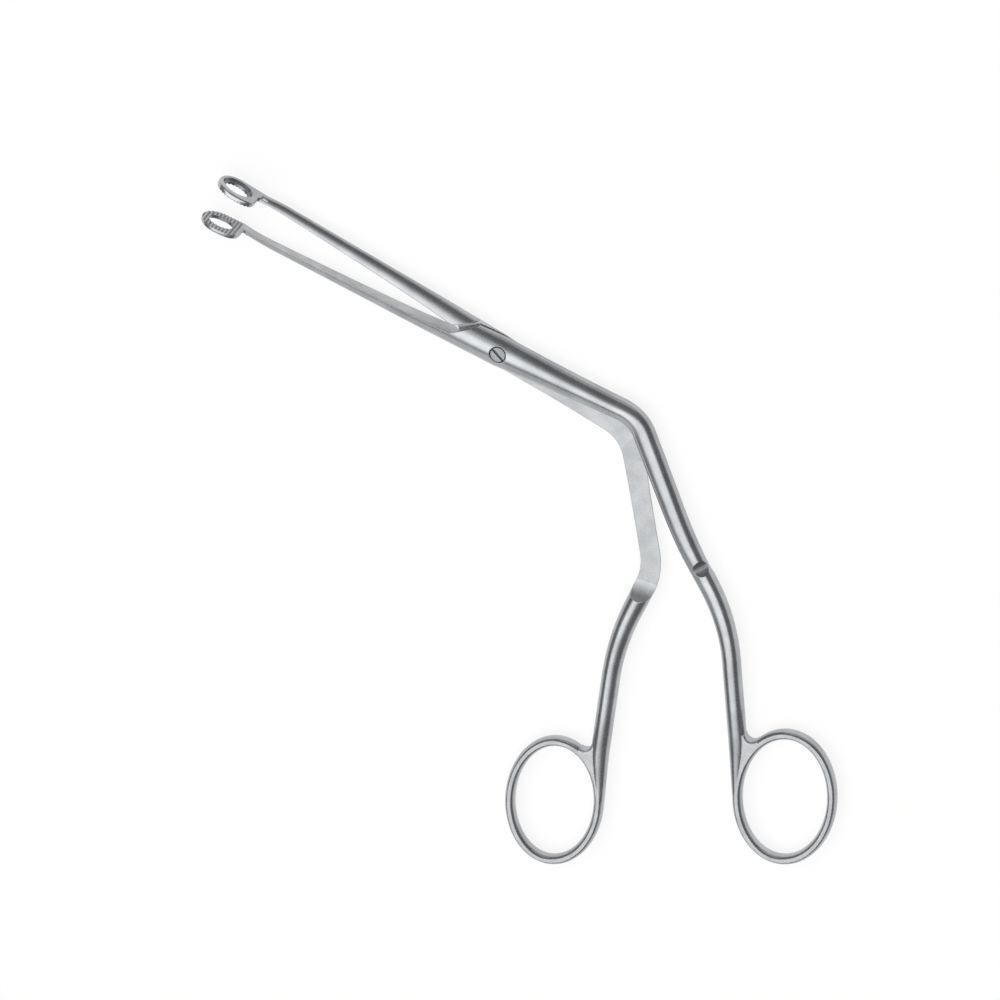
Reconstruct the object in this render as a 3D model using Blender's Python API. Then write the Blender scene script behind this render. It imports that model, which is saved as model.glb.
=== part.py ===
# Magill forceps, adult size, lying flat.
# Two crossing arms meet in a half-lap joint held by one slotted screw.  Each arm is a forged bar:
# a serrated open loop at the tip, a D-shaped jaw shaft, a half-thickness lap that runs round the
# angled shank, a concave ramp back to full thickness, a round handle rod and an oval finger ring.
# +Z is up (the screw head's side), +Y points from the finger rings to the jaws.
# Each arm is drawn with the screw at the origin and its jaw along +X, then turned into place.

import math

import bmesh
import bpy
from mathutils import Vector

for old in list(bpy.data.objects):
    bpy.data.objects.remove(old, do_unlink=True)

MM = 0.001

# Pose and frame, in degrees and millimetres
SHAFT_DIRECTION = 152.05    # heading of the shut jaws, seen from above
JAW_OPEN = 6.9              # angle between the jaws as they lie
PIVOT_X = -3.28             # screw axis, from the middle of the outline
PIVOT_Y = 59.02

# Half-lap joint
LAP_GAP = 0.30              # between the two lap faces
JOINT_HALF_WIDTH = 5.3
JOINT_HALF_HEIGHT = 3.45
SHOULDER_REACH = 15.8       # where the slanted shoulder meets the jaws' parting line
SHOULDER_ANGLE = 38.0       # between shoulder and shaft
SHOULDER_GAP = 0.35         # between a shoulder and the other jaw's step, jaws shut
RAMP_RADIUS = 9.0           # concave run-out at the end of each lap
LAP_CUT_HALF = 9.0          # half width of the cut that halves the bar

# Screw
HEAD_DIAMETER = 5.2
HEAD_THICKNESS = 1.3
HEAD_PROUD = 0.12
SHANK_DIAMETER = 3.0
SHANK_SHORT = 0.1           # the shank's end lies this far inside the rear arm
SCREW_CLEARANCE = 0.25
SLOT_WIDTH = 0.75
SLOT_DEPTH = 0.6
SLOT_HEADING = -50.7
SCREW_CHAMFER = 0.2

# Loops
LOOP_REACH = 91.8           # screw to the middle of the window
LOOP_LENGTH = 12.1
LOOP_WIDTH = 10.4
LOOP_THICKNESS = 1.75
LOOP_EGG = 1.14             # the rear half of the oval is this much longer
LOOP_FULLNESS = 0.68        # and squarer: the power of its sine and cosine
LOOP_EDGE = 0.7             # rounding of the outer rim
NECK_FILLET = 1.1
WINDOW_LENGTH = 7.9
WINDOW_WIDTH = 5.5
DISH_MARGIN = 0.9           # ledge round the window, on the outer side
DISH_DEPTH = 0.7
GROOVE_PITCH = 1.1
GROOVE_DEPTH = 0.35
GROOVE_WIDTH = 0.75

# Jaw shafts: share of the way from the screw to the neck, outer half width, half height
NECK_REACH = LOOP_REACH - 0.6 * LOOP_LENGTH
NECK_HALF_HEIGHT = 1.6
SHAFT_SIZES = ((0.26, 4.90, 2.65), (0.47, 4.40, 2.10), (0.69, 3.80, 1.85), (0.83, 3.40, 1.74),
               (0.91, 3.15, 1.67), (1.0, 2.35, NECK_HALF_HEIGHT))
# Inner face of a shaft: share of the way from the shoulder to the grip, distance from the
# parting line with the jaws shut
FACE_GAP = 0.30             # between the gripping faces, jaws shut
GRIP_START = LOOP_REACH - 0.48 * LOOP_LENGTH
SHAFT_FACE = ((0.0, 0.45), (0.17, 0.86), (0.42, 1.00), (0.66, 1.06), (0.86, 1.00),
              (0.94, 0.75), (1.0, FACE_GAP / 2))
PARTING_SHIFT = 0.40        # the parting line passes the screw this far on the front arm's side
PARTING_MEET = 110.0        # distance at which it would cross the line through the screw

# Handles: legs from the screw backwards (length, turn at its end, bend radius)
LAP_TOE = 0.6               # angle between a jaw's line and its lap, outwards
FRONT_LEGS = ((45.6, -49.2, 12.0), (41.5, 7.4, 150.0), (28.6, -23.5, 62.0))
REAR_LEGS = ((45.5, -52.6, 15.0), (45.4, -33.6, 20.0), (27.8, 16.9, 85.0))
# distance along the handle, half width, half height
FRONT_SIZES = ((20.0, 4.25, 3.44), (38.0, 3.70, 3.40), (62.0, 3.63, 3.35), (88.0, 3.45, 3.30),
               (98.0, 3.25, 3.05), (125.0, 2.85, 2.95))
REAR_SIZES = ((20.0, 4.25, 3.44), (38.0, 3.80, 3.40), (62.0, 3.18, 3.35), (88.0, 3.12, 3.30),
              (98.0, 3.30, 3.05), (125.0, 2.85, 2.95))
FRONT_LAP_LENGTH = 96.0     # screw to the start of the ramp
REAR_LAP_LENGTH = 93.5

# Finger rings: half axes of the stock's centre line, its lean, and its middle's place
# ahead of the last bend and to the side of the rod's line
FRONT_RING = dict(long=21.35, wide=14.7, lean=-11.5, ahead=57.45, side=13.45)
REAR_RING = dict(long=20.5, wide=13.9, lean=-1.0, ahead=58.5, side=-11.9)
RING_HALF_STOCK = 1.55
RING_HALF_HEIGHT = 2.0
RING_LAND = 1.2             # flat on the top and bottom of the stock
ROD_TAPER = 22.0            # length over which a rod fines down into its ring
WEB_FILLET = 2.1
FILLET_STEP = 0.02          # how finely the fillet's place is found
WEB_HALF_HEIGHT = 1.85

# Facets
BAR_POINT_COUNT = 24
RING_STOCK_POINT_COUNT = 16
RING_POINT_COUNT = 60
RAMP_POINT_COUNT = 72
STATION_STEP = 5.0
BEND_STEP = 8.0             # degrees
SHARP_ANGLE = 35.0          # edges sharper than this stay crisp


def steel(name, colour, roughness):
    material = bpy.data.materials.new(name)
    material.use_nodes = True
    shader = material.node_tree.nodes["Principled BSDF"]
    shader.inputs["Base Color"].default_value = (*colour, 1.0)
    shader.inputs["Metallic"].default_value = 1.0
    shader.inputs["Roughness"].default_value = roughness
    return material


def new_object(name, bm, material=None, cutter=False):
    bmesh.ops.recalc_face_normals(bm, faces=bm.faces)
    mesh = bpy.data.meshes.new(name)
    bm.to_mesh(mesh)
    bm.free()
    if material:
        mesh.materials.append(material)
    mesh.shade_smooth()
    mesh.set_sharp_from_angle(angle=math.radians(SHARP_ANGLE))
    obj = bpy.data.objects.new(name, mesh)
    bpy.context.scene.collection.objects.link(obj)
    if cutter:
        obj.hide_render = True
        obj.display_type = 'WIRE'
    return obj


def boolean(target, other, operation):
    mod = target.modifiers.new(operation.lower() + "_" + other.name, 'BOOLEAN')
    mod.operation = operation
    mod.solver = 'EXACT'
    mod.object = other


def loft(rings, closed=False):
    """Skin equal rings of points; the two end rings are capped unless the loft is closed."""
    bm = bmesh.new()
    rows = [[bm.verts.new(p) for p in ring] for ring in rings]
    count = len(rows[0])
    pairs = list(zip(rows, rows[1:])) + ([(rows[-1], rows[0])] if closed else [])
    for a, b in pairs:
        for i in range(count):
            j = (i + 1) % count
            bm.faces.new((a[i], a[j], b[j], b[i]))
    if not closed:
        bm.faces.new(rows[0])
        bm.faces.new(rows[-1])
    return bm


def prism(outline, low, high):
    """Extrude a plan outline between two heights."""
    return loft([[(x * MM, y * MM, z * MM) for x, y in outline] for z in (low, high)])


def turned(profile, points=40):
    """Solid of revolution about the screw's axis from (radius, height) rows."""
    return loft([[(r * MM * math.cos(2 * math.pi * k / points),
                   r * MM * math.sin(2 * math.pi * k / points), z * MM)
                  for k in range(points)] for r, z in profile])


def direction(degrees):
    return Vector((math.cos(math.radians(degrees)), math.sin(math.radians(degrees))))


def blend(rows, distance):
    """Smooth curve through rows of (distance, value, value, ...)."""
    if distance <= rows[0][0]:
        return rows[0][1:]
    if distance >= rows[-1][0]:
        return rows[-1][1:]
    k = max(i for i in range(len(rows) - 1) if rows[i][0] <= distance)
    low, high = rows[k], rows[k + 1]
    before, after = rows[max(k - 1, 0)], rows[min(k + 2, len(rows) - 1)]
    span = high[0] - low[0]
    t = (distance - low[0]) / span
    values = []
    for i in range(1, len(low)):
        slope_low = (high[i] - before[i]) / (high[0] - before[0]) * span
        slope_high = (after[i] - low[i]) / (after[0] - low[0]) * span
        values.append(low[i] * (2 * t**3 - 3 * t**2 + 1) + slope_low * (t**3 - 2 * t**2 + t)
                      + high[i] * (3 * t**2 - 2 * t**3) + slope_high * (t**3 - t**2))
    return tuple(values)


def spine(legs, heading, tail):
    """Centre line of a handle from the screw: straight legs joined by arcs, then a straight tail.
    Gives (point, heading, distance) rows."""
    rows = []
    here, run, used = Vector((0.0, 0.0)), 0.0, 0.0
    for length, turn, radius in legs + ((tail, 0.0, 0.0),):
        angle = math.radians(abs(turn))
        tangent = radius * math.tan(angle / 2)
        straight = length - used - tangent
        steps = max(1, math.ceil(straight / STATION_STEP))
        for k in range(steps):
            rows.append((here + direction(heading) * (straight * k / steps), heading,
                         run + straight * k / steps))
        here = here + direction(heading) * straight
        run += straight
        if turn:
            side = math.copysign(90.0, turn)
            centre = here + direction(heading + side) * radius
            steps = max(2, math.ceil(max(abs(turn) / BEND_STEP, radius * angle / STATION_STEP)))
            for k in range(steps):
                h = heading + turn * k / steps
                rows.append((centre - direction(h + side) * radius, h, run + radius * angle * k / steps))
            heading += turn
            here = centre - direction(heading + side) * radius
            run += radius * angle
        used = tangent
    rows.append((here, heading, run))
    return rows


def section(half_width, half_height, land, points):
    """Oval section with a flat land on top and bottom; its top facet lies at the half height."""
    ring = []
    crest = math.cos(math.pi / points)
    for k in range(points):
        a = 2 * math.pi * (k + 0.5) / points
        c = math.cos(a)
        ring.append((math.copysign(land / 2 + (half_width - land / 2) * abs(c), c),
                     half_height * math.sin(a) / crest))
    return ring


def placed(point, heading, profile):
    left = direction(heading + 90)
    return [((point.x + left.x * u) * MM, (point.y + left.y * u) * MM, z * MM) for u, z in profile]


def ring_point(ring, angle, grow=0.0):
    """Point of a finger ring in the rod's frame (ahead, side), by its oval's own angle."""
    lean = math.radians(ring["lean"])
    p, q = (ring["long"] + grow) * math.cos(angle), (ring["wide"] + grow) * math.sin(angle)
    return Vector((ring["ahead"] + p * math.cos(lean) - q * math.sin(lean),
                   ring["side"] + p * math.sin(lean) + q * math.cos(lean)))


def near_angle(ring):
    """Angle of the ring's point on its rod's side."""
    side = math.copysign(1.0, ring["side"])
    return min((math.radians(a) for a in range(360)), key=lambda a: ring_point(ring, a).y * side)


def bar(name, side, legs, handle_sizes, ring, material):
    """The whole bar from the jaw's neck to the near side of the finger ring.
    Gives the object, its handle's centre line and the rod's frame (origin, heading)."""
    joint = ((0.0, JOINT_HALF_WIDTH, JOINT_HALF_HEIGHT),)
    stations = []
    steps = math.ceil(NECK_REACH / STATION_STEP)
    for k in range(steps):
        share = 1 - k / steps
        half_width, half_height = blend(joint + SHAFT_SIZES, share)
        profile = section(half_width, half_height, 0.0, BAR_POINT_COUNT)
        stations.append(placed(Vector((NECK_REACH * share, 0.0)), 180.0, profile))
    near = ring_point(ring, near_angle(ring))
    rows = spine(legs, 180 + side * LAP_TOE, near.x)
    end = rows[-1][2]
    for point, heading, run in rows:
        half_width, half_height = blend(joint + handle_sizes, run)
        t = min(max(1 - (end - run) / ROD_TAPER, 0.0), 1.0)
        t = t * t * (3 - 2 * t)
        half_width += (RING_HALF_STOCK * 0.97 - half_width) * t
        half_height += (RING_HALF_HEIGHT * 0.97 - half_height) * t
        shifted = point + direction(heading + 90) * (near.y * t)
        profile = section(half_width, half_height, RING_LAND * t, BAR_POINT_COUNT)
        stations.append(placed(shifted, heading, profile))
    last, heading, _ = rows[-1]
    return new_object(name, loft(stations), material), rows, (last - direction(heading) * near.x, heading)


def finger_ring(name, ring, rod_frame, rod_half):
    """Oval ring of bar stock, and the flat web with its fillet between ring and rod."""
    origin, heading = rod_frame

    def out(p):
        return origin + direction(heading) * p.x + direction(heading + 90) * p.y

    stations = []
    for k in range(RING_POINT_COUNT):
        a = 2 * math.pi * k / RING_POINT_COUNT
        along = out(ring_point(ring, a + 0.01)) - out(ring_point(ring, a - 0.01))
        stations.append(placed(out(ring_point(ring, a)), math.degrees(math.atan2(along.y, along.x)),
                               section(RING_HALF_STOCK, RING_HALF_HEIGHT, RING_LAND, RING_STOCK_POINT_COUNT)))
    hoop = new_object(name + "_ring", loft(stations, closed=True), cutter=True)

    # the fillet's centre is a fillet's radius from the rod's side and from the ring's rim
    side = math.copysign(1.0, ring["side"])
    rim = [ring_point(ring, math.radians(a / 2), RING_HALF_STOCK) for a in range(720)]
    centre = Vector((0.0, side * (rod_half + WEB_FILLET)))
    while min((p - centre).length for p in rim) > WEB_FILLET:
        centre.x += FILLET_STEP
    touch = min(rim, key=lambda p: (p - centre).length)
    start = math.radians(-90 * side)
    sweep = math.atan2(touch.y - centre.y, touch.x - centre.x) - start
    outline = [Vector((centre.x, 0.0))]
    outline += [centre + WEB_FILLET * Vector((math.cos(start + sweep * k / 8),
                                              math.sin(start + sweep * k / 8))) for k in range(9)]
    # then along the middle of the stock to the rod's line
    goal = near_angle(ring)
    angles = [goal + math.radians(a / 2) for a in range(-360, 360)]
    first = min(angles, key=lambda a: (ring_point(ring, a) - touch).length)
    goal = min((a for a in angles if (a - first) * (goal - a) >= 0),
               key=lambda a: abs(ring_point(ring, a).y))
    outline += [ring_point(ring, first + (goal - first) * k / 12) for k in range(13)]
    web = prism([out(p) for p in outline], -WEB_HALF_HEIGHT, WEB_HALF_HEIGHT)
    return hoop, new_object(name + "_web", web, cutter=True)


def loop_pieces(name, side):
    """Open oval loop flush with the shaft's underside, and the cuts for its window, the ledge
    round the window and the grooves of its gripping face."""
    half = LOOP_WIDTH / 2
    low, high = -NECK_HALF_HEIGHT, NECK_HALF_HEIGHT
    middle = low + half
    # the rim's oval ends a fillet's height above the shaft
    drop = (middle - high - NECK_FILLET * 0.7) / half
    wrap = math.pi + math.copysign(math.asin(abs(drop) ** (1 / LOOP_FULLNESS)), drop)
    outline = []
    for k in range(33):
        a = (wrap + math.pi / 2) * k / 32 - math.pi / 2
        across, up = math.cos(a), math.sin(a)
        if across < 0:
            across = -LOOP_EGG * abs(across) ** LOOP_FULLNESS
            up = math.copysign(abs(up) ** LOOP_FULLNESS, up)
        outline.append((LOOP_REACH + LOOP_LENGTH / 2 * across, middle + half * up))
    # concave fillet where the rim runs into the shaft
    x, z = outline[-1]
    outline += [(x - NECK_FILLET * (1 - math.cos(t)), z - (z - high * 0.8) * math.sin(t))
                for t in (math.pi / 2 * k / 5 for k in range(1, 6))]
    root = x - NECK_FILLET - high
    outline += [(root, high * 0.8), (root, low * 0.8), (x - NECK_FILLET, low)]
    front, back = -LOOP_THICKNESS / 2, FACE_GAP / 2 + LOOP_THICKNESS
    bm = loft([[(x * MM, side * y * MM, z * MM) for x, z in outline] for y in (front, back)])
    rim = [e for e in bm.edges if all(abs(abs(v.co.y) - back * MM) < 1e-7 for v in e.verts)
           and min(v.co.x for v in e.verts) > (root + high) * MM]
    bmesh.ops.bevel(bm, geom=rim, offset=LOOP_EDGE * MM, segments=3, profile=0.5, affect='EDGES')
    plate = new_object(name + "_loop", bm, cutter=True)

    def oval(grow, y):
        return [((LOOP_REACH + (WINDOW_LENGTH / 2 + grow) * math.cos(a)) * MM, side * y * MM,
                 (middle + (WINDOW_WIDTH / 2 + grow) * math.sin(a)) * MM)
                for a in (2 * math.pi * k / 36 for k in range(36))]

    window = new_object(name + "_window", loft([oval(0, -LOOP_WIDTH), oval(0, LOOP_WIDTH)]), cutter=True)
    dish = loft([oval(DISH_MARGIN * 0.55, back - DISH_DEPTH), oval(DISH_MARGIN, back),
                 oval(DISH_MARGIN + LOOP_THICKNESS, back + LOOP_THICKNESS)])
    dish = new_object(name + "_dish", dish, cutter=True)
    return plate, window, dish, grooves(name + "_grooves", side, middle)


def grooves(name, side, middle):
    """V grooves across the gripping face."""
    bm = bmesh.new()
    face = FACE_GAP / 2
    length = LOOP_REACH + LOOP_LENGTH / 2 - GRIP_START
    for k in range(int(length / GROOVE_PITCH)):
        x = GRIP_START + GROOVE_PITCH * (k + 0.5)
        profile = ((x - GROOVE_WIDTH, face - GROOVE_DEPTH), (x + GROOVE_WIDTH, face - GROOVE_DEPTH),
                   (x, face + GROOVE_DEPTH))
        a, b = ([bm.verts.new((px * MM, side * py * MM, (middle + z) * MM)) for px, py in profile]
                for z in (-LOOP_WIDTH, LOOP_WIDTH))
        bm.faces.new(a)
        bm.faces.new(b)
        for i in range(3):
            j = (i + 1) % 3
            bm.faces.new((a[i], a[j], b[j], b[i]))
    return new_object(name, bm, cutter=True)


def parting_cut(name, side):
    """Everything beyond the jaw's flat inner face, back to the slanted shoulder."""
    slope = 1 / math.tan(math.radians(SHOULDER_ANGLE))
    deep = 3 * JOINT_HALF_WIDTH
    tip = LOOP_REACH + LOOP_LENGTH
    outline = []
    for share in [k / 16 for k in range(17)] + [(tip - SHOULDER_REACH) / (GRIP_START - SHOULDER_REACH)]:
        x = SHOULDER_REACH + (GRIP_START - SHOULDER_REACH) * share
        shift = side * PARTING_SHIFT * (1 - x / PARTING_MEET)
        outline.append((x, blend(SHAFT_FACE, share)[0] + shift))
    outline += [(tip, -deep), (SHOULDER_REACH - deep * slope, -deep)]
    cut = prism([(x, y * side) for x, y in outline], -deep, deep)
    return new_object(name + "_parting", cut, cutter=True)


def lap_cuts(name, side, rows, lap_length):
    """Half the bar's thickness, from the other arm's shoulder round the bend to the ramp, and
    the round milling cutter that leaves the ramp."""
    slope = 1 / math.tan(math.radians(SHOULDER_ANGLE))
    reach = SHOULDER_REACH + SHOULDER_GAP / math.sin(math.radians(SHOULDER_ANGLE))
    path = [r for r in rows if r[2] < lap_length - 1]
    point, heading, run = path[-1]
    end = point + direction(heading) * (lap_length - run)
    path.append((end, heading, lap_length))
    left_edge = [p + direction(h + 90) * LAP_CUT_HALF for p, h, _ in path]
    right_edge = [p - direction(h + 90) * LAP_CUT_HALF for p, h, _ in path]
    outline = [Vector((reach + side * LAP_CUT_HALF * slope, -LAP_CUT_HALF))] + left_edge
    outline += right_edge[::-1] + [Vector((reach - side * LAP_CUT_HALF * slope, LAP_CUT_HALF))]
    face = side * LAP_GAP / 2
    lap = prism(outline, *sorted((face, -side * 3 * JOINT_HALF_HEIGHT)))

    # the cutter's lowest point is a hair off the lap's face, so the two cuts cross cleanly
    centre_z = face - side * (RAMP_RADIUS + 0.01)
    middle = end - direction(heading) * 0.6
    wheel = []
    for s in (-1, 1):
        mid = middle + direction(heading + 90) * (s * LAP_CUT_HALF)
        wheel.append([((mid.x + direction(heading).x * RAMP_RADIUS * math.cos(t)) * MM,
                       (mid.y + direction(heading).y * RAMP_RADIUS * math.cos(t)) * MM,
                       (centre_z + RAMP_RADIUS * math.sin(t)) * MM)
                      for t in (2 * math.pi * k / RAMP_POINT_COUNT for k in range(RAMP_POINT_COUNT))])
    return (new_object(name + "_lap", lap, cutter=True),
            new_object(name + "_ramp", loft(wheel), cutter=True))


def make_arm(name, side, legs, handle_sizes, lap_length, ring, material):
    """side +1: lap half above the parting plane, jaw to the left of the shaft's axis;
    side -1: the half below, jaw to the right."""
    arm, rows, rod_frame = bar(name, side, legs, handle_sizes, ring, material)
    plate, window, dish, groove_set = loop_pieces(name, side)
    lap, ramp = lap_cuts(name, side, rows, lap_length)
    for piece in (*finger_ring(name, ring, rod_frame, handle_sizes[-1][1]), plate):
        boolean(arm, piece, 'UNION')
    for piece in (parting_cut(name, side), window, dish, groove_set, lap, ramp):
        boolean(arm, piece, 'DIFFERENCE')
    return arm


polished = steel("polished stainless steel", (0.56, 0.57, 0.58), 0.22)
satin = steel("satin stainless steel", (0.60, 0.60, 0.61), 0.34)

front_arm = make_arm("front_arm", 1, FRONT_LEGS, FRONT_SIZES, FRONT_LAP_LENGTH, FRONT_RING, polished)
rear_arm = make_arm("rear_arm", -1, REAR_LEGS, REAR_SIZES, REAR_LAP_LENGTH, REAR_RING, satin)

# screw: slotted head let into the front arm, shank through both laps
head_top = JOINT_HALF_HEIGHT + HEAD_PROUD
head_low = head_top - HEAD_THICKNESS
head_radius, shank_radius = HEAD_DIAMETER / 2, SHANK_DIAMETER / 2
shank_low = SHANK_SHORT - JOINT_HALF_HEIGHT
screw = new_object("pivot_screw", turned((
    (shank_radius - SCREW_CHAMFER, shank_low), (shank_radius, shank_low + SCREW_CHAMFER),
    (shank_radius, head_low), (head_radius, head_low),
    (head_radius, head_top - SCREW_CHAMFER), (head_radius - SCREW_CHAMFER, head_top))), satin)
slot_half = SLOT_WIDTH / 2
slot = prism([(-HEAD_DIAMETER, -slot_half), (HEAD_DIAMETER, -slot_half),
              (HEAD_DIAMETER, slot_half), (-HEAD_DIAMETER, slot_half)],
             head_top - SLOT_DEPTH, head_top + SLOT_DEPTH)
boolean(screw, new_object("screw_slot", slot, cutter=True), 'DIFFERENCE')

bore_radius, seat_radius = shank_radius + SCREW_CLEARANCE, head_radius + SCREW_CLEARANCE
seat_low, clear = head_low - SCREW_CLEARANCE, 2 * JOINT_HALF_HEIGHT
seat = new_object("front_arm_bore", turned(((bore_radius, -clear), (bore_radius, seat_low),
                                            (seat_radius, seat_low), (seat_radius, clear))), cutter=True)
boolean(front_arm, seat, 'DIFFERENCE')
bore = new_object("rear_arm_bore", turned(((bore_radius, -clear), (bore_radius, clear))), cutter=True)
boolean(rear_arm, bore, 'DIFFERENCE')

# every piece goes on the screw's axis, with the jaws apart
pivot = Vector((PIVOT_X * MM, PIVOT_Y * MM, JOINT_HALF_HEIGHT * MM))
for obj in bpy.data.objects:
    turn = SHAFT_DIRECTION
    if obj.name.startswith("front_arm"):
        turn += JAW_OPEN / 2
    elif obj.name.startswith("rear_arm"):
        turn -= JAW_OPEN / 2
    elif obj.name == "screw_slot":
        turn = SLOT_HEADING
    obj.location = pivot
    obj.rotation_euler = (0.0, 0.0, math.radians(turn))
bpy.context.view_layer.update()
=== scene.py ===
import math

import bmesh
import bpy
from mathutils import Matrix, Vector


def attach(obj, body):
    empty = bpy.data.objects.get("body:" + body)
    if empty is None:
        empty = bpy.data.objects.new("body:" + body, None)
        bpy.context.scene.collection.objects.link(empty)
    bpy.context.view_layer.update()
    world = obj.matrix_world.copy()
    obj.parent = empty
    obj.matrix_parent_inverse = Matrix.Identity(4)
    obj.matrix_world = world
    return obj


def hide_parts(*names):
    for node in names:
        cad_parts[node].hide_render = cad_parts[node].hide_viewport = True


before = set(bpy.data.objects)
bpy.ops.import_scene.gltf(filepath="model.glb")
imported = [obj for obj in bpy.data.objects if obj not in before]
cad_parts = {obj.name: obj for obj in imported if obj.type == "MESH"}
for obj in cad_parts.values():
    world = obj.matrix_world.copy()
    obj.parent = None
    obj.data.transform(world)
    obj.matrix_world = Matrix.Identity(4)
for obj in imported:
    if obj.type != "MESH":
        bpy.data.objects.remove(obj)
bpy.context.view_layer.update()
print("frame loaded:", ", ".join(sorted(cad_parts)))

# Magill forceps in stainless steel, lying open on a pale table.
# Each arm is modelled in millimetres with the screw at the origin and its jaw along +X,
# jaws shut, and placeInWorld then turns it into its place in the frame.


# camera, from the photograph's viewing angle
cameraView = {
    "location": (896.816, 1262.916, 2574.952),     # mm
    "rotation": (-25.98166, 17.53423, -4.07529),   # degrees
    "lens": 360.72,
    "sensor": 36.0,
}
cameraData = bpy.data.cameras.new("camera")
cameraData.lens = cameraView["lens"]
cameraData.sensor_width = cameraView["sensor"]
cameraData.clip_start = 0.1
cameraData.clip_end = 30.0
camera = bpy.data.objects.new("camera", cameraData)
camera.location = Vector(cameraView["location"]) * 0.001
camera.rotation_euler = [math.radians(a) for a in cameraView["rotation"]]
bpy.context.scene.collection.objects.link(camera)
bpy.context.scene.camera = camera
bpy.context.scene.view_settings.view_transform = "Standard"
print("camera placed")


# materials
def hexColour(code):
    values = [int(code[i:i + 2], 16) / 255 for i in (0, 2, 4)]
    linear = [v / 12.92 if v <= 0.04045 else ((v + 0.055) / 1.055) ** 2.4 for v in values]
    return tuple(linear) + (1.0,)


def addNode(tree, kind, settings=None, links=None):
    # settings hold attributes or socket values, links hold socket: (node, output)
    node = tree.nodes.new(kind)
    for key, value in (settings or {}).items():
        if isinstance(key, int) or key in node.inputs:
            node.inputs[key].default_value = value
        else:
            setattr(node, key, value)
    for key, (source, output) in (links or {}).items():
        tree.links.new(source.outputs[output], node.inputs[key])
    return node


noiseReach = {"From Min": 0.3, "From Max": 0.7}     # nearly all of a noise's values lie between


def steelMaterial(name, look):
    # sizes in mm
    material = bpy.data.materials.new(name)
    material.use_nodes = True
    tree = material.node_tree
    tree.nodes.clear()
    place = addNode(tree, "ShaderNodeTexCoord")
    # broad cloudiness left by hand polishing, and the grain of the last wheel or file
    cloud = addNode(tree, "ShaderNodeTexNoise",
                    {"Scale": 1000 / look["cloudSize"], "Detail": 3.0, "Roughness": 0.55},
                    {"Vector": (place, "Object")})
    grain = addNode(tree, "ShaderNodeTexNoise",
                    {"Scale": 1000 / look["grainSize"], "Detail": 2.0, "Roughness": 0.6},
                    {"Vector": (place, "Object")})
    tone = addNode(tree, "ShaderNodeMapRange", noiseReach, {"Value": (cloud, "Fac")})
    half = look["grainTone"] / 2
    speck = addNode(tree, "ShaderNodeMapRange", {**noiseReach, "To Min": -half, "To Max": half},
                    {"Value": (grain, "Fac")})
    tone = addNode(tree, "ShaderNodeMath", {"operation": "ADD", "use_clamp": True},
                   {0: (tone, "Result"), 1: (speck, "Result")})
    colour = addNode(tree, "ShaderNodeMix", {"data_type": "RGBA"}, {0: (tone, 0)})
    colour.inputs[6].default_value = hexColour(look["dark"])
    colour.inputs[7].default_value = hexColour(look["light"])
    rough = addNode(tree, "ShaderNodeMapRange",
                    {**noiseReach, "To Min": look["roughLow"], "To Max": look["roughHigh"]},
                    {"Value": (grain, "Fac")})
    edge = addNode(tree, "ShaderNodeBevel", {"samples": 6, "Radius": look["edge"] * 0.001})
    bump = addNode(tree, "ShaderNodeBump",
                   {"Strength": look["bump"], "Distance": look["bumpDepth"] * 0.001},
                   {"Height": (grain, "Fac"), "Normal": (edge, "Normal")})
    shader = addNode(tree, "ShaderNodeBsdfPrincipled", {"Metallic": 1.0},
                     {"Base Color": (colour, 2), "Roughness": (rough, "Result"),
                      "Normal": (bump, "Normal")})
    addNode(tree, "ShaderNodeOutputMaterial", None, {"Surface": (shader, "BSDF")})
    return material


# buffed forging: a clear but soft reflection with faint clouds in it
polishedSteel = steelMaterial("polished stainless steel", {
    "dark": "A4A6A9", "light": "BABCBE", "cloudSize": 9.0, "roughLow": 0.23, "roughHigh": 0.28,
    "grainSize": 0.5, "grainTone": 0.08, "bump": 0.03, "bumpDepth": 0.01, "edge": 0.40})
# ground and glass-beaded flats: no reflection left, an even pale sheen with a fine grain
satinSteel = steelMaterial("satin stainless steel", {
    "dark": "B1B3B5", "light": "C6C8CA", "cloudSize": 5.0, "roughLow": 0.38, "roughHigh": 0.48,
    "grainSize": 0.4, "grainTone": 1.0, "bump": 0.6, "bumpDepth": 0.02, "edge": 0.22})
# windows, grooves, dip and screw slot, filed and not buffed: dull, and darker than the rest, which
# is painted shade in these hollows
filedSteelPaintedShade = steelMaterial("filed stainless steel with painted shade", {
    "dark": "77797C", "light": "9FA1A4", "cloudSize": 3.0, "roughLow": 0.34, "roughHigh": 0.44,
    "grainSize": 0.3, "grainTone": 1.0, "bump": 0.5, "bumpDepth": 0.02, "edge": 0.12})
# screw head, faced off in a lathe: a little greyer than the arms and a soft reflection
turnedSteel = steelMaterial("turned stainless steel", {
    "dark": "8C8E91", "light": "9DA0A3", "cloudSize": 2.0, "roughLow": 0.30, "roughHigh": 0.38,
    "grainSize": 0.25, "grainTone": 0.5, "bump": 0.3, "bumpDepth": 0.01, "edge": 0.12})
print("steel materials made")


# modelling helpers
def pick(obj):
    bpy.ops.object.select_all(action="DESELECT")
    obj.select_set(True)
    bpy.context.view_layer.objects.active = obj


def startEdit(obj, mode="VERT"):
    pick(obj)
    bpy.ops.object.mode_set(mode="EDIT")
    bpy.ops.mesh.select_mode(type=mode)
    bpy.ops.mesh.select_all(action="DESELECT")


def endEdit():
    bpy.ops.object.mode_set(mode="OBJECT")


def selectWhere(obj, kind, test):
    # in edit mode: of the edges or faces, those that pass the test
    mesh = bmesh.from_edit_mesh(obj.data)
    for item in getattr(mesh, kind):
        item.select = test(item)
    bmesh.update_edit_mesh(obj.data)


def applyAll(obj):
    pick(obj)
    for modifier in list(obj.modifiers):
        bpy.ops.object.modifier_apply(modifier=modifier.name)


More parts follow.
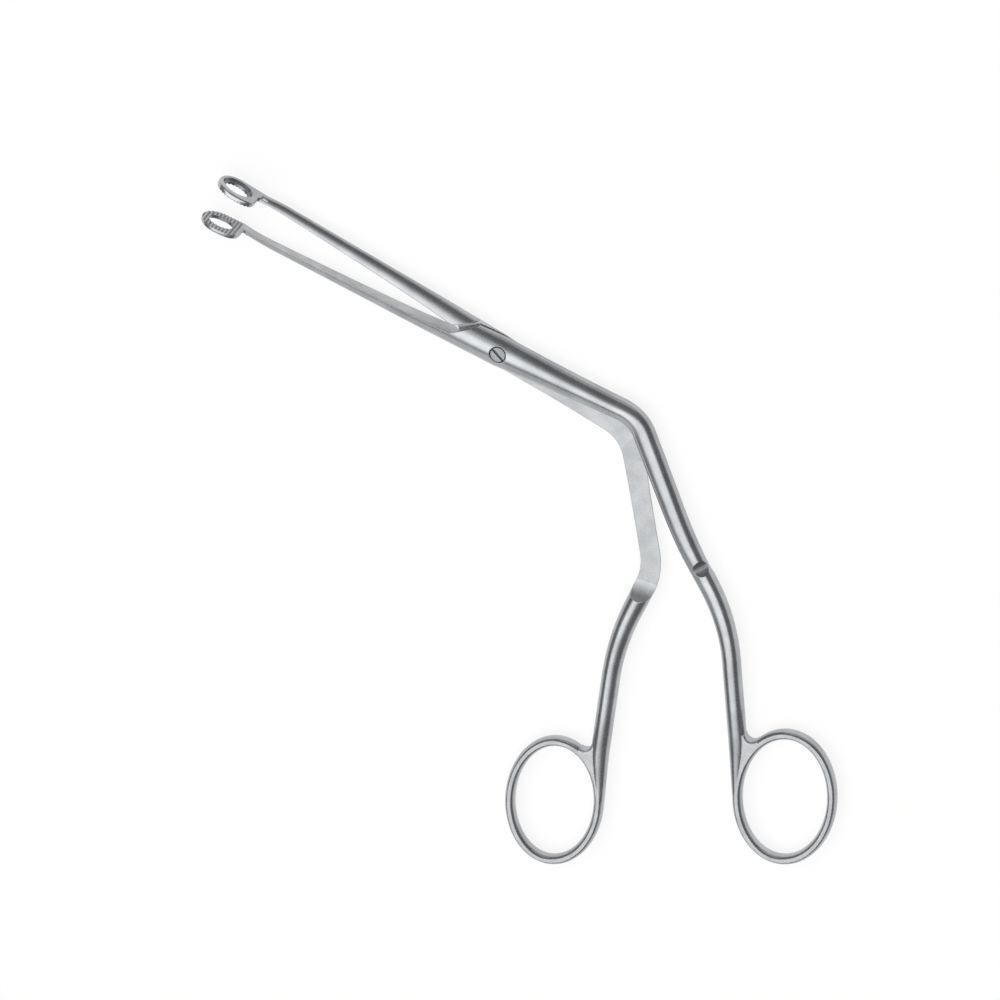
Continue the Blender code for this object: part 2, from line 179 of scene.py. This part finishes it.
def combine(target, tool, operation):
    modifier = target.modifiers.new(operation.lower(), "BOOLEAN")
    modifier.operation = operation
    modifier.solver = "EXACT"
    modifier.object = tool
    modifier.material_mode = "TRANSFER"
    applyAll(target)
    bpy.data.objects.remove(tool, do_unlink=True)


def heading(degrees):
    return Vector((math.cos(math.radians(degrees)), math.sin(math.radians(degrees)), 0.0))


def smoothRows(rows, distance):
    # smooth curve through rows of (distance, value, value, ...)
    if distance <= rows[0][0]:
        return rows[0][1:]
    if distance >= rows[-1][0]:
        return rows[-1][1:]
    k = max(i for i in range(len(rows) - 1) if rows[i][0] <= distance)
    low, high = rows[k], rows[k + 1]
    before, after = rows[max(k - 1, 0)], rows[min(k + 2, len(rows) - 1)]
    span = high[0] - low[0]
    t = (distance - low[0]) / span
    values = []
    for i in range(1, len(low)):
        slopeLow = (high[i] - before[i]) / (high[0] - before[0]) * span
        slopeHigh = (after[i] - low[i]) / (after[0] - low[0]) * span
        values.append(low[i] * (2 * t**3 - 3 * t**2 + 1) + slopeLow * (t**3 - 2 * t**2 + t)
                      + high[i] * (3 * t**2 - 2 * t**3) + slopeHigh * (t**3 - t**2))
    return tuple(values)


def moveSelected(obj, matrix):
    mesh = bmesh.from_edit_mesh(obj.data)
    bmesh.ops.transform(mesh, matrix=matrix, verts=[v for v in mesh.verts if v.select])
    bmesh.update_edit_mesh(obj.data)


def stationFrame(station):
    # a circle of radius 1 becomes the oval section of this station
    point, angle, halfWidth, halfHeight = station
    across, up = heading(angle + 90) * halfWidth, Vector((0, 0, halfHeight))
    section = Matrix((across, up, heading(angle))).transposed().to_4x4()
    section.translation = point
    return section


def sweep(name, stations, sides, material, closed=False):
    # an oval section, extruded from station to station
    bpy.ops.object.select_all(action="DESELECT")
    bpy.ops.mesh.primitive_circle_add(vertices=sides, radius=1.0,
                                      fill_type="NOTHING" if closed else "NGON")
    obj = bpy.context.object
    obj.name = name
    startEdit(obj)
    bpy.ops.mesh.select_all(action="SELECT")
    previous = Matrix.Identity(4)
    for count, station in enumerate(stations):
        if count:
            bpy.ops.mesh.extrude_region_move()
        here = stationFrame(station)
        moveSelected(obj, here @ previous.inverted())
        previous = here
    if closed:
        selectWhere(obj, "edges", lambda edge: edge.is_boundary)
        bpy.ops.mesh.select_mode(type="EDGE")
        bpy.ops.mesh.bridge_edge_loops()
    bpy.ops.mesh.select_all(action="SELECT")
    bpy.ops.mesh.normals_make_consistent(inside=False)
    endEdit()
    obj.data.materials.append(material)
    return obj


def prism(name, outline, low, high, material, plane="XY"):
    # a flat outline, extruded; plane XZ stands it up, low and high being heights along Y
    bpy.ops.object.select_all(action="DESELECT")
    bpy.ops.mesh.primitive_circle_add(vertices=len(outline), radius=1.0, fill_type="NGON")
    obj = bpy.context.object
    obj.name = name
    startEdit(obj)
    mesh = bmesh.from_edit_mesh(obj.data)
    mesh.verts.ensure_lookup_table()
    for vert, (u, v) in zip(mesh.verts, outline):
        vert.co = (u, v, low) if plane == "XY" else (u, low, v)
    bmesh.update_edit_mesh(obj.data)
    bpy.ops.mesh.select_all(action="SELECT")
    rise = (0, 0, high - low) if plane == "XY" else (0, high - low, 0)
    bpy.ops.mesh.extrude_region_move(TRANSFORM_OT_translate={"value": rise})
    bpy.ops.mesh.select_all(action="SELECT")
    bpy.ops.mesh.normals_make_consistent(inside=False)
    endEdit()
    obj.data.materials.append(material)
    return obj


def placeInWorld(obj, turn):
    obj.matrix_world = (Matrix.Translation(Vector(joint["pivot"]) * 0.001)
                        @ Matrix.Rotation(math.radians(turn), 4, "Z") @ Matrix.Scale(0.001, 4))
    pick(obj)
    bpy.ops.object.transform_apply(location=True, rotation=True, scale=True)


# the half-lap joint, in mm and degrees
joint = {
    "pivot": (-3.28, 59.02, 3.45), "shaftHeading": 152.05, "jawOpen": 6.9,
    "halfWidth": 5.3, "halfHeight": 3.45, "lapGap": 0.30,
    "shoulderReach": 15.8, "shoulderAngle": 38.0, "shoulderGap": 0.35,
    "rampRadius": 9.0, "rampBack": 0.6, "rampClear": 0.01, "cutHalf": 9.0, "lapToe": 0.6,
}
# jaw shafts: sizes by share of the way to the neck (outer half width, half height), and the inner
# face's distance from the parting line by share of the way from shoulder to grip
jaw = {
    "neck": 84.54, "neckHalfHeight": 1.6,
    "sizes": ((0.26, 4.90, 2.65), (0.47, 4.40, 2.10), (0.69, 3.80, 1.85), (0.83, 3.40, 1.74),
              (0.91, 3.15, 1.67), (1.0, 2.35, 1.60)),
    "faceGap": 0.30, "gripStart": 85.99,
    "face": ((0.0, 0.45), (0.17, 0.86), (0.42, 1.00), (0.66, 1.06), (0.86, 1.00), (0.94, 0.75),
             (1.0, 0.15)),
    "partingShift": 0.40, "partingMeet": 110.0,
}
loop = {
    "reach": 91.8, "length": 12.1, "width": 10.4, "thickness": 1.75,
    "egg": 1.14, "fullness": 0.68, "edge": 0.7, "neckFillet": 1.1, "neckTuck": 0.7, "root": 0.8,
    "windowLength": 7.9, "windowWidth": 5.5, "dishMargin": 0.9, "dishDepth": 0.7,
    "dishFloor": 0.55, "dishFlare": 0.8,
    "groovePitch": 1.1, "grooveDepth": 0.28, "grooveHalf": 0.44, "grooveClear": 0.04,
}
# lengths over which a rod's width and height shrink toward its ring, to this share of its stock
barLook = {"sides": 64, "step": 2.0, "bendStep": 3.0, "taper": 22.0, "flatten": 34.0, "end": 0.97}
fingerRing = {"halfStock": 1.55, "halfHeight": 2.0, "flatCut": 0.10, "sides": 56, "stations": 180,
              "webFillet": 2.1, "webRound": 0.9, "webSunk": 0.02, "filletStep": 0.01,
              "turnStep": 0.005}
frontHandle = {
    "side": 1, "legs": ((45.6, -49.2, 12.0), (41.5, 7.4, 150.0), (28.6, -23.5, 62.0)),
    "sizes": ((20.0, 4.25, 3.44), (38.0, 3.70, 3.40), (62.0, 3.63, 3.35), (88.0, 3.45, 3.30),
              (98.0, 3.25, 3.05), (125.0, 2.85, 2.95)),
    "saddle": {"run": 95.6, "radius": 3.5, "depth": 0.30, "skew": 4.0, "tip": -24.0},
    "lap": 96.0, "long": 21.35, "wide": 14.7, "lean": -11.5, "ahead": 57.45, "ringSide": 13.45,
}
rearHandle = {
    "side": -1, "legs": ((45.5, -52.6, 15.0), (45.4, -33.6, 20.0), (27.8, 16.9, 85.0)),
    "sizes": ((20.0, 4.25, 3.44), (38.0, 3.80, 3.40), (62.0, 3.18, 3.35), (88.0, 3.12, 3.30),
              (98.0, 3.30, 3.05), (125.0, 2.85, 2.95)),
    "lap": 93.5, "long": 20.5, "wide": 13.9, "lean": -1.0, "ahead": 58.5, "ringSide": -11.9,
}


def handleLine(legs, angle, tail):
    # centre line from the screw: straight legs joined by arcs; rows of (point, heading, run)
    rows = []
    here, run, used = Vector((0, 0, 0)), 0.0, 0.0
    for length, turn, radius in legs + ((tail, 0.0, 0.0),):
        sweepAngle = math.radians(abs(turn))
        tangent = radius * math.tan(sweepAngle / 2)
        straight = length - used - tangent
        steps = max(1, math.ceil(straight / barLook["step"]))
        rows += [(here + heading(angle) * (straight * k / steps), angle, run + straight * k / steps)
                 for k in range(steps)]
        here = here + heading(angle) * straight
        run += straight
        if turn:
            side = math.copysign(90.0, turn)
            centre = here + heading(angle + side) * radius
            steps = max(2, math.ceil(max(abs(turn) / barLook["bendStep"],
                                         radius * sweepAngle / barLook["step"])))
            rows += [(centre - heading(angle + turn * k / steps + side) * radius,
                      angle + turn * k / steps, run + radius * sweepAngle * k / steps)
                     for k in range(steps)]
            angle += turn
            here = centre - heading(angle + side) * radius
            run += radius * sweepAngle
        used = tangent
    rows.append((here, angle, run))
    return rows


def ringPoint(ring, angle, grow=0.0):
    # in the rod's frame: X ahead along the rod, Y to its left
    lean = math.radians(ring["lean"])
    p, q = (ring["long"] + grow) * math.cos(angle), (ring["wide"] + grow) * math.sin(angle)
    return Vector((ring["ahead"] + p * math.cos(lean) - q * math.sin(lean),
                   ring["ringSide"] + p * math.sin(lean) + q * math.cos(lean), 0.0))


def makeBar(name, handle):
    side = handle["side"]
    atScrew = ((0.0, joint["halfWidth"], joint["halfHeight"]),)
    stations = []
    steps = math.ceil(jaw["neck"] / barLook["step"])
    for k in range(steps):
        share = 1 - k / steps
        stations.append((Vector((jaw["neck"] * share, 0, 0)), 180.0,
                         *smoothRows(atScrew + jaw["sizes"], share)))
    ringSide = math.copysign(1.0, handle["ringSide"])
    nearAngle = min((math.radians(a) for a in range(360)),
                    key=lambda a: ringPoint(handle, a).y * ringSide)
    near = ringPoint(handle, nearAngle)
    rows = handleLine(handle["legs"], 180 + side * joint["lapToe"], near.x)
    end = rows[-1][2]
    for point, angle, run in rows:
        halfWidth, halfHeight = smoothRows(atScrew + handle["sizes"], run)
        t, low = [min(max(1 - (end - run) / barLook[key], 0.0), 1.0)
                  for key in ("taper", "flatten")]
        t, low = t * t * (3 - 2 * t), low * low * (3 - 2 * low)
        halfWidth += (fingerRing["halfStock"] * barLook["end"] - halfWidth) * t
        halfHeight += (fingerRing["halfHeight"] * barLook["end"] - halfHeight) * low
        stations.append((point + heading(angle + 90) * (near.y * t), angle, halfWidth, halfHeight))
    bar = sweep(name, stations, barLook["sides"], polishedSteel)
    last, angle, run = rows[-1]
    return bar, rows, (last - heading(angle) * near.x, angle), nearAngle


def makeRing(name, handle, rodFrame, nearAngle):
    # oval bar stock, with a web between it and the rod, both ground flat on top and bottom
    origin, angle = rodFrame

    def out(p):
        return origin + heading(angle) * p.x + heading(angle + 90) * p.y

    stations = []
    for k in range(fingerRing["stations"]):
        a = 2 * math.pi * k / fingerRing["stations"]
        along = (out(ringPoint(handle, a + fingerRing["turnStep"]))
                 - out(ringPoint(handle, a - fingerRing["turnStep"])))
        stations.append((out(ringPoint(handle, a)), math.degrees(math.atan2(along.y, along.x)),
                         fingerRing["halfStock"], fingerRing["halfHeight"] + fingerRing["flatCut"]))
    hoop = sweep(name, stations, fingerRing["sides"], polishedSteel, closed=True)

    ringSide = math.copysign(1.0, handle["ringSide"])
    fillet = fingerRing["webFillet"]
    rim = [ringPoint(handle, math.radians(a / 2), fingerRing["halfStock"]) for a in range(720)]
    centre = Vector((0.0, ringSide * (handle["sizes"][-1][1] + fillet), 0.0))
    while min((p - centre).length for p in rim) > fillet:
        centre.x += fingerRing["filletStep"]
    touch = min(rim, key=lambda p: (p - centre).length)
    start = math.radians(-90 * ringSide)
    turn = math.atan2(touch.y - centre.y, touch.x - centre.x) - start
    outline = [Vector((centre.x, 0.0, 0.0))]
    outline += [centre + fillet * Vector((math.cos(start + turn * k / 16),
                                          math.sin(start + turn * k / 16), 0.0)) for k in range(17)]
    angles = [nearAngle + math.radians(a / 2) for a in range(-360, 360)]
    first = min(angles, key=lambda a: (ringPoint(handle, a) - touch).length)
    last = min((a for a in angles if (a - first) * (nearAngle - a) >= 0),
               key=lambda a: abs(ringPoint(handle, a).y))
    outline += [ringPoint(handle, first + (last - first) * k / 24) for k in range(25)]
    high = fingerRing["halfHeight"] - fingerRing["webSunk"]
    web = prism(name + "_web", [tuple(out(p))[:2] for p in outline], -high, high, satinSteel)
    # round the two long edges of its hollow side
    hollow = out(centre)
    startEdit(web, "EDGE")
    selectWhere(web, "edges", lambda edge: (
        all(abs((v.co.xy - hollow.xy).length - fillet) < 0.001 for v in edge.verts)
        and abs(edge.verts[0].co.z - edge.verts[1].co.z) < 0.001))
    bpy.ops.mesh.bevel(offset=fingerRing["webRound"], segments=6, profile=0.5, affect="EDGES")
    endEdit()

    hoop.data.materials.append(satinSteel)
    startEdit(hoop)
    for level in (1, -1):
        bpy.ops.mesh.select_all(action="SELECT")
        bpy.ops.mesh.bisect(plane_co=(0, 0, level * fingerRing["halfHeight"]),
                            plane_no=(0, 0, level), use_fill=True, clear_outer=True,
                            threshold=0.0001)
    mesh = bmesh.from_edit_mesh(hoop.data)
    for face in mesh.faces:
        face.material_index = 1 if abs(face.normal.z) > 0.999 else 0
    bmesh.update_edit_mesh(hoop.data)
    endEdit()
    combine(hoop, web, "UNION")
    return hoop


def partingFace(x, side):
    # the inner face's distance from the parting line at this reach
    share = (x - joint["shoulderReach"]) / (jaw["gripStart"] - joint["shoulderReach"])
    shift = side * jaw["partingShift"] * (1 - x / jaw["partingMeet"])
    return smoothRows(jaw["face"], share)[0] + shift


def makeLoop(name, side):
    # upright plate, flush with the shaft's underside, and the tools that open and groove it
    half = loop["width"] / 2
    low, high = -jaw["neckHalfHeight"], jaw["neckHalfHeight"]
    middle = low + half
    drop = (middle - high - loop["neckFillet"] * loop["neckTuck"]) / half
    wrap = math.pi + math.copysign(math.asin(abs(drop) ** (1 / loop["fullness"])), drop)
    outline = []
    for k in range(65):
        a = (wrap + math.pi / 2) * k / 64 - math.pi / 2
        across, up = math.cos(a), math.sin(a)
        if across < 0:
            across = -loop["egg"] * abs(across) ** loop["fullness"]
            up = math.copysign(abs(up) ** loop["fullness"], up)
        outline.append((loop["reach"] + loop["length"] / 2 * across, middle + half * up))
    x, z = outline[-1]
    rootHigh, rootLow = high * loop["root"], low * loop["root"]
    outline += [(x - loop["neckFillet"] * (1 - math.cos(t)), z - (z - rootHigh) * math.sin(t))
                for t in (math.pi / 2 * k / 8 for k in range(1, 9))]
    root = x - loop["neckFillet"] - high
    outline += [(root, rootHigh), (root, rootLow), (x - loop["neckFillet"], low)]
    front, back = -loop["thickness"] / 2, jaw["faceGap"] / 2 + loop["thickness"]
    plate = prism(name, outline, side * front, side * back, polishedSteel, plane="XZ")
    startEdit(plate, "EDGE")
    selectWhere(plate, "edges", lambda edge: (
        all(abs(abs(v.co.y) - back) < 1e-5 for v in edge.verts)
        and min(v.co.x for v in edge.verts) > root + high))
    bpy.ops.mesh.bevel(offset=loop["edge"], segments=5, profile=0.5, affect="EDGES")
    endEdit()

    def opening(toolName, growX, growZ, depthLow, depthHigh, widen):
        bpy.ops.object.select_all(action="DESELECT")
        bpy.ops.mesh.primitive_cylinder_add(vertices=72, radius=1.0, depth=2.0,
                                            rotation=(math.pi / 2, 0, 0))
        tool = bpy.context.object
        tool.name = toolName
        tool.scale = (loop["windowLength"] / 2 + growX, loop["windowWidth"] / 2 + growZ,
                      (depthHigh - depthLow) / 2)
        tool.location = (loop["reach"], side * (depthLow + depthHigh) / 2, middle)
        pick(tool)
        bpy.ops.object.transform_apply(location=True, rotation=True, scale=True)
        if widen:
            startEdit(tool, "FACE")
            selectWhere(tool, "faces", lambda face: face.normal.y * side > 0.9)
            bpy.ops.transform.resize(value=(1 + widen / (loop["windowLength"] / 2 + growX), 1,
                                            1 + widen / (loop["windowWidth"] / 2 + growZ)),
                                     center_override=(loop["reach"], 0, middle))
            endEdit()
        # the cut walls of window and dish take the darker filed steel: painted shade in the hollows
        tool.data.materials.append(filedSteelPaintedShade)
        return tool

    window = opening(name + "_window", 0, 0, -loop["width"], loop["width"], 0)
    floor = loop["dishMargin"] * loop["dishFloor"]
    dish = opening(name + "_dish", floor, floor, back - loop["dishDepth"], back + 0.5,
                   loop["dishMargin"] * loop["dishFlare"])
    pitch = loop["groovePitch"]
    count = round((loop["reach"] + loop["length"] / 2 - jaw["gripStart"]) / pitch)
    teeth = []
    for k in range(count):
        x = jaw["gripStart"] + pitch * (k + 0.5)
        face = partingFace(x, side)
        outline = [(x - loop["grooveHalf"], side * (face - loop["grooveClear"])),
                   (x + loop["grooveHalf"], side * (face - loop["grooveClear"])),
                   (x, side * (face + loop["grooveDepth"]))]
        # the groove walls take the darker filed steel: painted shade in the grooves
        teeth.append(prism(name + "_groove", outline, middle - loop["width"],
                           middle + loop["width"], filedSteelPaintedShade))
    pick(teeth[0])
    for tooth in teeth[1:]:
        tooth.select_set(True)
    bpy.ops.object.join()
    return plate, window, dish, bpy.context.object


def partingTool(name, side):
    slope = 1 / math.tan(math.radians(joint["shoulderAngle"]))
    deep, start, grip = 3 * joint["halfWidth"], joint["shoulderReach"], jaw["gripStart"]
    tip = loop["reach"] + loop["length"]
    outline = []
    for share in [k / 40 for k in range(41)] + [(tip - start) / (grip - start)]:
        x = start + (grip - start) * share
        outline.append((x, partingFace(x, side)))
    outline += [(tip, -deep), (start - deep * slope, -deep)]
    return prism(name + "_parting", [(x, y * side) for x, y in outline], -deep, deep, satinSteel)


def lapTools(name, side, rows, lapLength):
    shoulder = math.radians(joint["shoulderAngle"])
    slope = 1 / math.tan(shoulder)
    wide = joint["cutHalf"]
    reach = joint["shoulderReach"] + joint["shoulderGap"] / math.sin(shoulder)
    path = [r for r in rows if r[2] < lapLength - 1]
    point, angle, run = path[-1]
    end = point + heading(angle) * (lapLength - run)
    path.append((end, angle, lapLength))
    outline = [Vector((reach + side * wide * slope, -wide, 0))]
    outline += [p + heading(h + 90) * wide for p, h, _ in path]
    outline += [p - heading(h + 90) * wide for p, h, _ in reversed(path)]
    outline += [Vector((reach - side * wide * slope, wide, 0))]
    face = side * joint["lapGap"] / 2
    low, high = sorted((face, -side * 3 * joint["halfHeight"]))
    lap = prism(name + "_lap", [tuple(p)[:2] for p in outline], low, high, satinSteel)
    radius = joint["rampRadius"]
    bpy.ops.object.select_all(action="DESELECT")
    bpy.ops.mesh.primitive_cylinder_add(vertices=180, radius=radius, depth=2 * wide,
                                        rotation=(math.pi / 2, 0, math.radians(angle)))
    ramp = bpy.context.object
    ramp.name = name + "_ramp"
    ramp.location = end - heading(angle) * joint["rampBack"] \
        + Vector((0, 0, face - side * (radius + joint["rampClear"])))
    pick(ramp)
    bpy.ops.object.transform_apply(location=True, rotation=True, scale=True)
    ramp.data.materials.append(satinSteel)
    return lap, ramp


def saddleTool(name, handle, rows):
    # a dip hammered across the rod's back where its full thickness begins
    saddle = handle["saddle"]
    point, angle, run = min(rows, key=lambda row: abs(row[2] - saddle["run"]))
    bpy.ops.object.select_all(action="DESELECT")
    bpy.ops.mesh.primitive_cylinder_add(vertices=180, radius=saddle["radius"],
                                        depth=4 * joint["halfWidth"])
    tool = bpy.context.object
    tool.name = name + "_saddle"
    lying = Matrix.Rotation(math.radians(angle + saddle["skew"]), 4, "Z") \
        @ Matrix.Rotation(math.radians(90 + saddle["tip"]), 4, "X")
    high = smoothRows(handle["sizes"], run)[1] + saddle["radius"] - saddle["depth"]
    tool.matrix_world = Matrix.Translation(point + Vector((0, 0, high))) @ lying
    bpy.ops.object.transform_apply(location=True, rotation=True, scale=True)
    # the dip takes the darker filed steel: painted shade in the dip
    tool.data.materials.append(filedSteelPaintedShade)
    return tool


def makeArm(name, handle):
    side = handle["side"]
    arm, rows, rodFrame, nearAngle = makeBar(name + "_fine", handle)
    plate, window, dish, teeth = makeLoop(name + "_loop", side)
    lap, ramp = lapTools(name, side, rows, handle["lap"])
    combine(arm, makeRing(name + "_ring", handle, rodFrame, nearAngle), "UNION")
    combine(arm, plate, "UNION")
    for tool in (partingTool(name, side), window, dish, teeth, lap, ramp):
        combine(arm, tool, "DIFFERENCE")
    if "saddle" in handle:
        combine(arm, saddleTool(name, handle, rows), "DIFFERENCE")
    return arm


def finishPiece(obj, turn, body, node):
    placeInWorld(obj, turn)
    startEdit(obj)
    bpy.ops.mesh.select_all(action="SELECT")
    bpy.ops.mesh.remove_doubles(threshold=1e-6)
    endEdit()
    bpy.ops.object.shade_smooth_by_angle(angle=math.radians(20))
    weighted = obj.modifiers.new("weighted", "WEIGHTED_NORMAL")
    weighted.keep_sharp = True
    applyAll(obj)
    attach(obj, body)
    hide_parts(node)
    print(node, "modelled,", len(obj.data.polygons), "faces")


frontArm = makeArm("front_arm", frontHandle)
rearArm = makeArm("rear_arm", rearHandle)

# the screw: slotted cheese head, let into the front arm and level with its sides
screw = {
    "headDiameter": 4.9, "headThickness": 1.3, "sunk": 0.25, "shankDiameter": 3.0, "short": 0.1,
    "clearance": 0.16, "slotWidth": 0.75, "slotDepth": 0.6, "slotHeading": -50.7, "chamfer": 0.2,
}


def turned(name, rows, material, sides=72):
    # solid of revolution from (radius, height) rows
    bpy.ops.object.select_all(action="DESELECT")
    bpy.ops.mesh.primitive_circle_add(vertices=sides, radius=rows[0][0], fill_type="NGON",
                                      location=(0, 0, rows[0][1]))
    obj = bpy.context.object
    obj.name = name
    bpy.ops.object.transform_apply(location=True, rotation=True, scale=True)
    startEdit(obj)
    bpy.ops.mesh.select_all(action="SELECT")
    for (radius, height), (newRadius, newHeight) in zip(rows, rows[1:]):
        rise = (0, 0, newHeight - height)
        bpy.ops.mesh.extrude_region_move(TRANSFORM_OT_translate={"value": rise})
        bpy.ops.transform.resize(value=(newRadius / radius, newRadius / radius, 1),
                                 center_override=(0, 0, newHeight))
    bpy.ops.mesh.select_all(action="SELECT")
    bpy.ops.mesh.normals_make_consistent(inside=False)
    endEdit()
    obj.data.materials.append(material)
    return obj


headTop = joint["halfHeight"] - screw["sunk"]
headLow = headTop - screw["headThickness"]
headRadius, shankRadius = screw["headDiameter"] / 2, screw["shankDiameter"] / 2
shankLow = screw["short"] - joint["halfHeight"]
clear = screw["clearance"]
far = 2 * joint["halfHeight"]
bore, recess = shankRadius + clear, headRadius + clear
combine(frontArm, turned("front_bore", ((bore, -far), (bore, headLow - clear),
                                        (recess, headLow - clear), (recess, far)), satinSteel),
        "DIFFERENCE")
combine(rearArm, turned("rear_bore", ((bore, -far), (bore, far)), satinSteel), "DIFFERENCE")
pivotScrew = turned("pivot_screw_fine", (
    (shankRadius - screw["chamfer"], shankLow), (shankRadius, shankLow + screw["chamfer"]),
    (shankRadius, headLow), (headRadius, headLow), (headRadius, headTop - screw["chamfer"]),
    (headRadius - screw["chamfer"], headTop)), turnedSteel)
slotHalf, slotLong = screw["slotWidth"] / 2, screw["headDiameter"]
# the slot's walls and floor take the darker filed steel: painted shade in the slot
combine(pivotScrew, prism("screw_slot", [(-slotLong, -slotHalf), (slotLong, -slotHalf),
                                         (slotLong, slotHalf), (-slotLong, slotHalf)],
                          headTop - screw["slotDepth"], headTop + screw["slotDepth"], filedSteelPaintedShade),
        "DIFFERENCE")
finishPiece(frontArm, joint["shaftHeading"] + joint["jawOpen"] / 2,
            "front_half", "front_arm")
finishPiece(rearArm, joint["shaftHeading"] - joint["jawOpen"] / 2,
            "rear_half", "rear_arm")
finishPiece(pivotScrew, screw["slotHeading"], "rear_half", "pivot_screw")


# studio: pale table in a dim room with low pale walls and four softboxes, drawn in the world.
# A softbox lies toward one axis; a band is the share of that distance that it spans along
# another axis, with the width of its soft edge; turn swings the box about the vertical.
studio = {
    "overhead": {"toward": ("Z", 1), "turn": 9.0, "level": 1.65,
                 "bands": (("X", -1.05, 0.60, 0.30), ("Y", -0.60, 0.08, 0.30))},
    "leftBack": {"toward": ("Z", 1), "turn": 32.0, "level": 1.10,
                 "bands": (("X", -0.95, 0.12, 0.25), ("Y", 0.25, 1.20, 0.30))},
    "leftFront": {"toward": ("Y", -1), "turn": 0.0, "level": 0.75,
                  "bands": (("X", -1.20, -0.45, 0.25), ("Z", 0.10, 0.85, 0.30))},
    "back": {"toward": ("Y", 1), "turn": 0.0, "level": 0.60,
             "bands": (("X", -0.20, 1.00, 0.30), ("Z", 0.20, 0.45, 0.15))},
    "room": 0.20, "walls": 0.80, "wallTop": 0.06, "wallSoft": 0.04,
    "floorSize": 16.0, "floorColour": "F4F4F3", "floorGlow": 0.85,
    "lampPower": 1.25, "lampAngle": 80.0, "lampTilt": (-12.0, -4.0, 0.0),
}


def addSoftbox(tree, place, box, before):
    # adds this box's light to what is there before it
    axis, side = box["toward"]
    swung = addNode(tree, "ShaderNodeVectorRotate",
                    {"rotation_type": "Z_AXIS", "Angle": math.radians(-box["turn"])},
                    {"Vector": (place, "Generated")})
    parts = addNode(tree, "ShaderNodeSeparateXYZ", None, {"Vector": (swung, 0)})
    ahead = addNode(tree, "ShaderNodeMath", {"operation": "MULTIPLY", 1: side},
                    {0: (parts, axis)})
    lit = addNode(tree, "ShaderNodeMath", {"operation": "GREATER_THAN", 1: 0.05}, {0: (ahead, 0)})
    for across, low, high, soft in box["bands"]:
        ratio = addNode(tree, "ShaderNodeMath", {"operation": "DIVIDE"},
                        {0: (parts, across), 1: (ahead, 0)})
        offset = addNode(tree, "ShaderNodeMath", {"operation": "SUBTRACT", 1: (low + high) / 2},
                         {0: (ratio, 0)})
        size = addNode(tree, "ShaderNodeMath", {"operation": "ABSOLUTE"}, {0: (offset, 0)})
        edge = addNode(tree, "ShaderNodeMapRange",
                       {"interpolation_type": "SMOOTHSTEP", "From Min": (high - low + soft) / 2,
                        "From Max": (high - low - soft) / 2}, {"Value": (size, 0)})
        lit = addNode(tree, "ShaderNodeMath", {"operation": "MULTIPLY"},
                      {0: (lit, 0), 1: (edge, 0)})
    return addNode(tree, "ShaderNodeMath", {"operation": "MULTIPLY_ADD", 1: box["level"]},
                   {0: (lit, 0), 2: (before, 0)})


def buildWorld():
    world = bpy.data.worlds.new("studio")
    bpy.context.scene.world = world
    world.use_nodes = True
    tree = world.node_tree
    tree.nodes.clear()
    place = addNode(tree, "ShaderNodeTexCoord")
    parts = addNode(tree, "ShaderNodeSeparateXYZ", None, {"Vector": (place, "Generated")})
    level = addNode(tree, "ShaderNodeMapRange",
                    {"interpolation_type": "SMOOTHSTEP", "To Min": studio["walls"],
                     "To Max": studio["room"],
                     "From Min": studio["wallTop"] - studio["wallSoft"],
                     "From Max": studio["wallTop"] + studio["wallSoft"]}, {"Value": (parts, "Z")})
    for name in ("overhead", "leftBack", "leftFront", "back"):
        level = addSoftbox(tree, place, studio[name], level)
    shine = addNode(tree, "ShaderNodeBackground", {"Color": (1, 1, 1, 1)}, {"Strength": (level, 0)})
    addNode(tree, "ShaderNodeOutputWorld", None, {"Surface": (shine, 0)})


buildWorld()
lampData = bpy.data.lights.new("overhead", "SUN")
lampData.energy = studio["lampPower"]
lampData.angle = math.radians(studio["lampAngle"])
lamp = bpy.data.objects.new("overhead", lampData)
lamp.rotation_euler = [math.radians(a) for a in studio["lampTilt"]]
lamp.visible_glossy = False
bpy.context.scene.collection.objects.link(lamp)

bpy.ops.object.select_all(action="DESELECT")
bpy.ops.mesh.primitive_plane_add(size=studio["floorSize"])
table = bpy.context.object
table.name = "table"
tableMaterial = bpy.data.materials.new("matt white laminate")
tableMaterial.use_nodes = True
tree = tableMaterial.node_tree
tree.nodes.clear()
# seen directly, or in the steel, it is white; as a surface it takes light and shadow
ray = addNode(tree, "ShaderNodeLightPath")
seen = addNode(tree, "ShaderNodeMath", {"operation": "MAXIMUM"},
               {0: (ray, "Is Camera Ray"), 1: (ray, "Is Glossy Ray")})
seen = addNode(tree, "ShaderNodeMath", {"operation": "MAXIMUM"},
               {0: (seen, 0), 1: (ray, "Is Transmission Ray")})
share = addNode(tree, "ShaderNodeMath", {"operation": "MULTIPLY", 1: studio["floorGlow"]},
                {0: (seen, 0)})
matt = addNode(tree, "ShaderNodeBsdfDiffuse", {"Color": hexColour(studio["floorColour"])})
glow = addNode(tree, "ShaderNodeEmission", {"Color": (1, 1, 1, 1), "Strength": 1.0})
mixed = addNode(tree, "ShaderNodeMixShader", None, {0: (share, 0), 1: (matt, 0), 2: (glow, 0)})
addNode(tree, "ShaderNodeOutputMaterial", None, {"Surface": (mixed, 0)})
table.data.materials.append(tableMaterial)
print("studio built")
